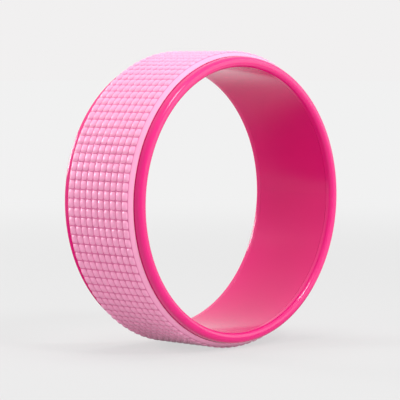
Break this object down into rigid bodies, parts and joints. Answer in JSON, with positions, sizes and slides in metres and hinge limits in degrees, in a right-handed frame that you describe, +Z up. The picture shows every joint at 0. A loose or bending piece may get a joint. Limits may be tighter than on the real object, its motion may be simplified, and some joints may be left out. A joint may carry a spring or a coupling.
{
  "type": "yoga wheel",
  "caption": "Upright yoga wheel: a hollow plastic hoop with glossy rounded rims and a soft bumpy tread wrapped round the outside, for back stretches and balance work.",
  "frame": {"origin": "centre of the wheel, on its axis and half-way across its width", "axes": "+Y along the wheel's axis towards the rear rim, +Z up as the wheel stands on its tread, +X across it"},
  "size_m": [0.33, 0.1216, 0.3298],
  "materials": {
    "hoop_plastic": "moulded hot-pink plastic with a satin gloss",
    "rim_plastic": "polished hot-pink plastic",
    "bonding_film": "milky bonding film",
    "tread_rubber": "matt pale-pink soft rubber, moulded with bumps"
  },
  "bodies": {
    "root": {"inner_hoop": "hoop_plastic", "outer_hoop": "hoop_plastic", "front_rim": "rim_plastic", "rear_rim": "rim_plastic", "tread_film": "bonding_film", "tread": "tread_rubber"}
  },
  "joints": []
}
